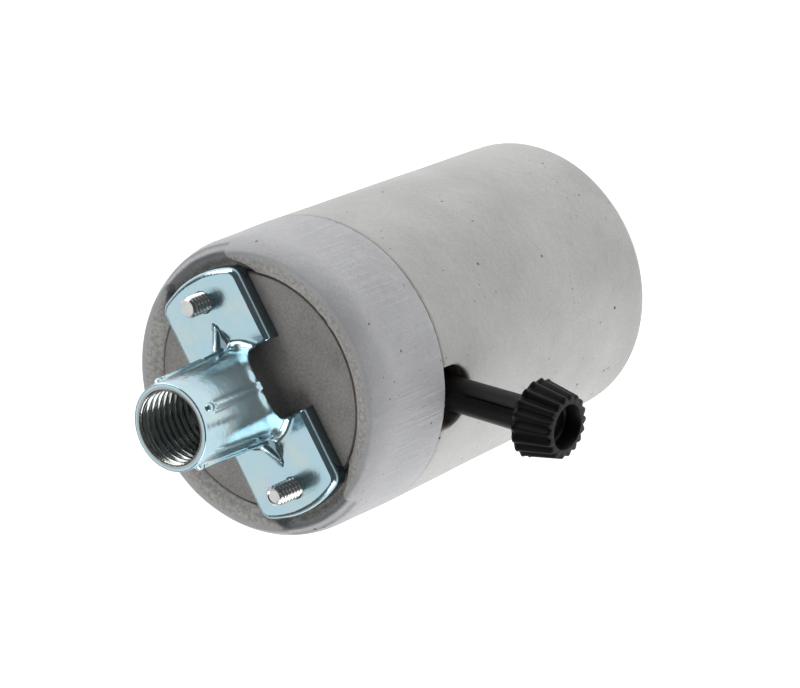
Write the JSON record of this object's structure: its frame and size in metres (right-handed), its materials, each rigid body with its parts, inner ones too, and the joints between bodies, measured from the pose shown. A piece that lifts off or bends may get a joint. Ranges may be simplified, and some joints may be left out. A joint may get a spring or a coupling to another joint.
{
  "type": "porcelain lampholder with turn switch",
  "caption": "Unglazed porcelain lampholder for a heat lamp, with a turn-knob switch on the side and a drawn steel bracket with a threaded barrel on top.",
  "frame": {"origin": "centre of the lamp mouth's rim plane, on the lampholder's axis", "axes": "+Z along the axis from the lamp mouth to the bracket's threaded barrel; the bracket's ears lie along X; the knob points towards -X and -Y, 234 degrees about +Z from +X"},
  "size_m": [0.0567, 0.0658, 0.0989],
  "materials": {
    "porcelain": "unglazed, off-white with fine dark specks",
    "vulcanised_fibre": "matt grey-brown pressed fibre",
    "zinc_plate": "bright zinc plate with a pale blue tint",
    "plated_screw": "nickel-plated steel screws",
    "knob_plastic": "satin black moulded plastic",
    "spindle_steel": "plain bright steel",
    "phenolic": "brown moulded phenolic",
    "brass": "plain brass",
    "spring_bronze": "phosphor bronze leaf",
    "nickel_shell": "nickel-plated brass shell"
  },
  "bodies": {
    "socket": {"porcelain_body": "porcelain", "porcelain_cap": "porcelain", "inner_fibre_disc": "vulcanised_fibre", "outer_fibre_disc": "vulcanised_fibre", "bracket": "zinc_plate", "long_screws": "plated_screw", "switch_frame": "spindle_steel", "frame_rivets": "brass", "index_spring": "spindle_steel", "line_contact_spring": "spring_bronze", "load_contact_spring": "spring_bronze", "line_terminal": "brass", "line_terminal_screw": "brass", "neutral_terminal": "plated_screw", "neutral_terminal_screw": "plated_screw", "contact_rivets": "brass", "screw_shell": "nickel_shell", "shell_screws": "plated_screw", "shell_nut": "plated_screw", "contact_cup": "brass", "plunger_spring": "spindle_steel", "centre_link": "brass"},
    "knob_assembly": {"knob": "knob_plastic", "switch_stem": "spindle_steel", "stem_clip": "spindle_steel", "rotor": "phenolic", "rotor_contact": "brass"},
    "centre_contact": {"contact_plunger": "nickel_shell"}
  },
  "joints": [
    {"name": "knob_turn", "type": "hinge", "parent": "socket", "child": "knob_assembly", "pos_m": [0, 0, 0.056], "axis": [-0.5878, -0.809, 0], "continuous": true, "deforming": ["index_spring", "line_contact_spring", "load_contact_spring"]},
    {"name": "contact_press", "type": "slide", "parent": "socket", "child": "centre_contact", "axis": [0, 0, 1], "range_m": [0, 0.002], "stiffness_N_per_m": 600, "springref_m": -0.0015, "deforming": ["plunger_spring"]}
  ]
}
